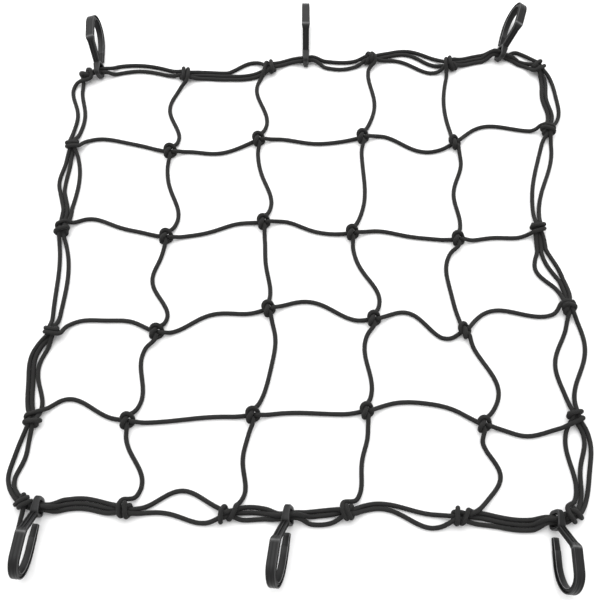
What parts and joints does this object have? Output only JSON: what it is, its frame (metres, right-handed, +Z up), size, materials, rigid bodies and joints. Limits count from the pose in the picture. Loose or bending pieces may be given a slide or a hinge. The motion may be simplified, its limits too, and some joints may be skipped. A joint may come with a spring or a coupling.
{
  "type": "cargo net",
  "caption": "Square elastic cargo net of knotted cord with open cells, laid flat, with moulded J hooks threaded on two of its edges.",
  "frame": {"origin": "middle of the part's bounding box, hooks included, on the surface that it lies on", "axes": "+Z up from the surface, +Y towards the far edge and its hooks, +X to the right as the picture shows it"},
  "size_m": [0.421, 0.5006, 0.0268],
  "materials": {
    "mesh_cord": "matt braided sheath over rubber strands",
    "edge_cord": "matt braided sheath over rubber strands",
    "hook": "satin, as moulded"
  },
  "bodies": {
    "root": {"mesh_cords": "mesh_cord", "edge_cords": "edge_cord", "hook_far_left": "hook", "hook_far_middle": "hook", "hook_far_right": "hook", "hook_near_left": "hook", "hook_near_middle": "hook", "hook_near_right": "hook"}
  },
  "joints": []
}
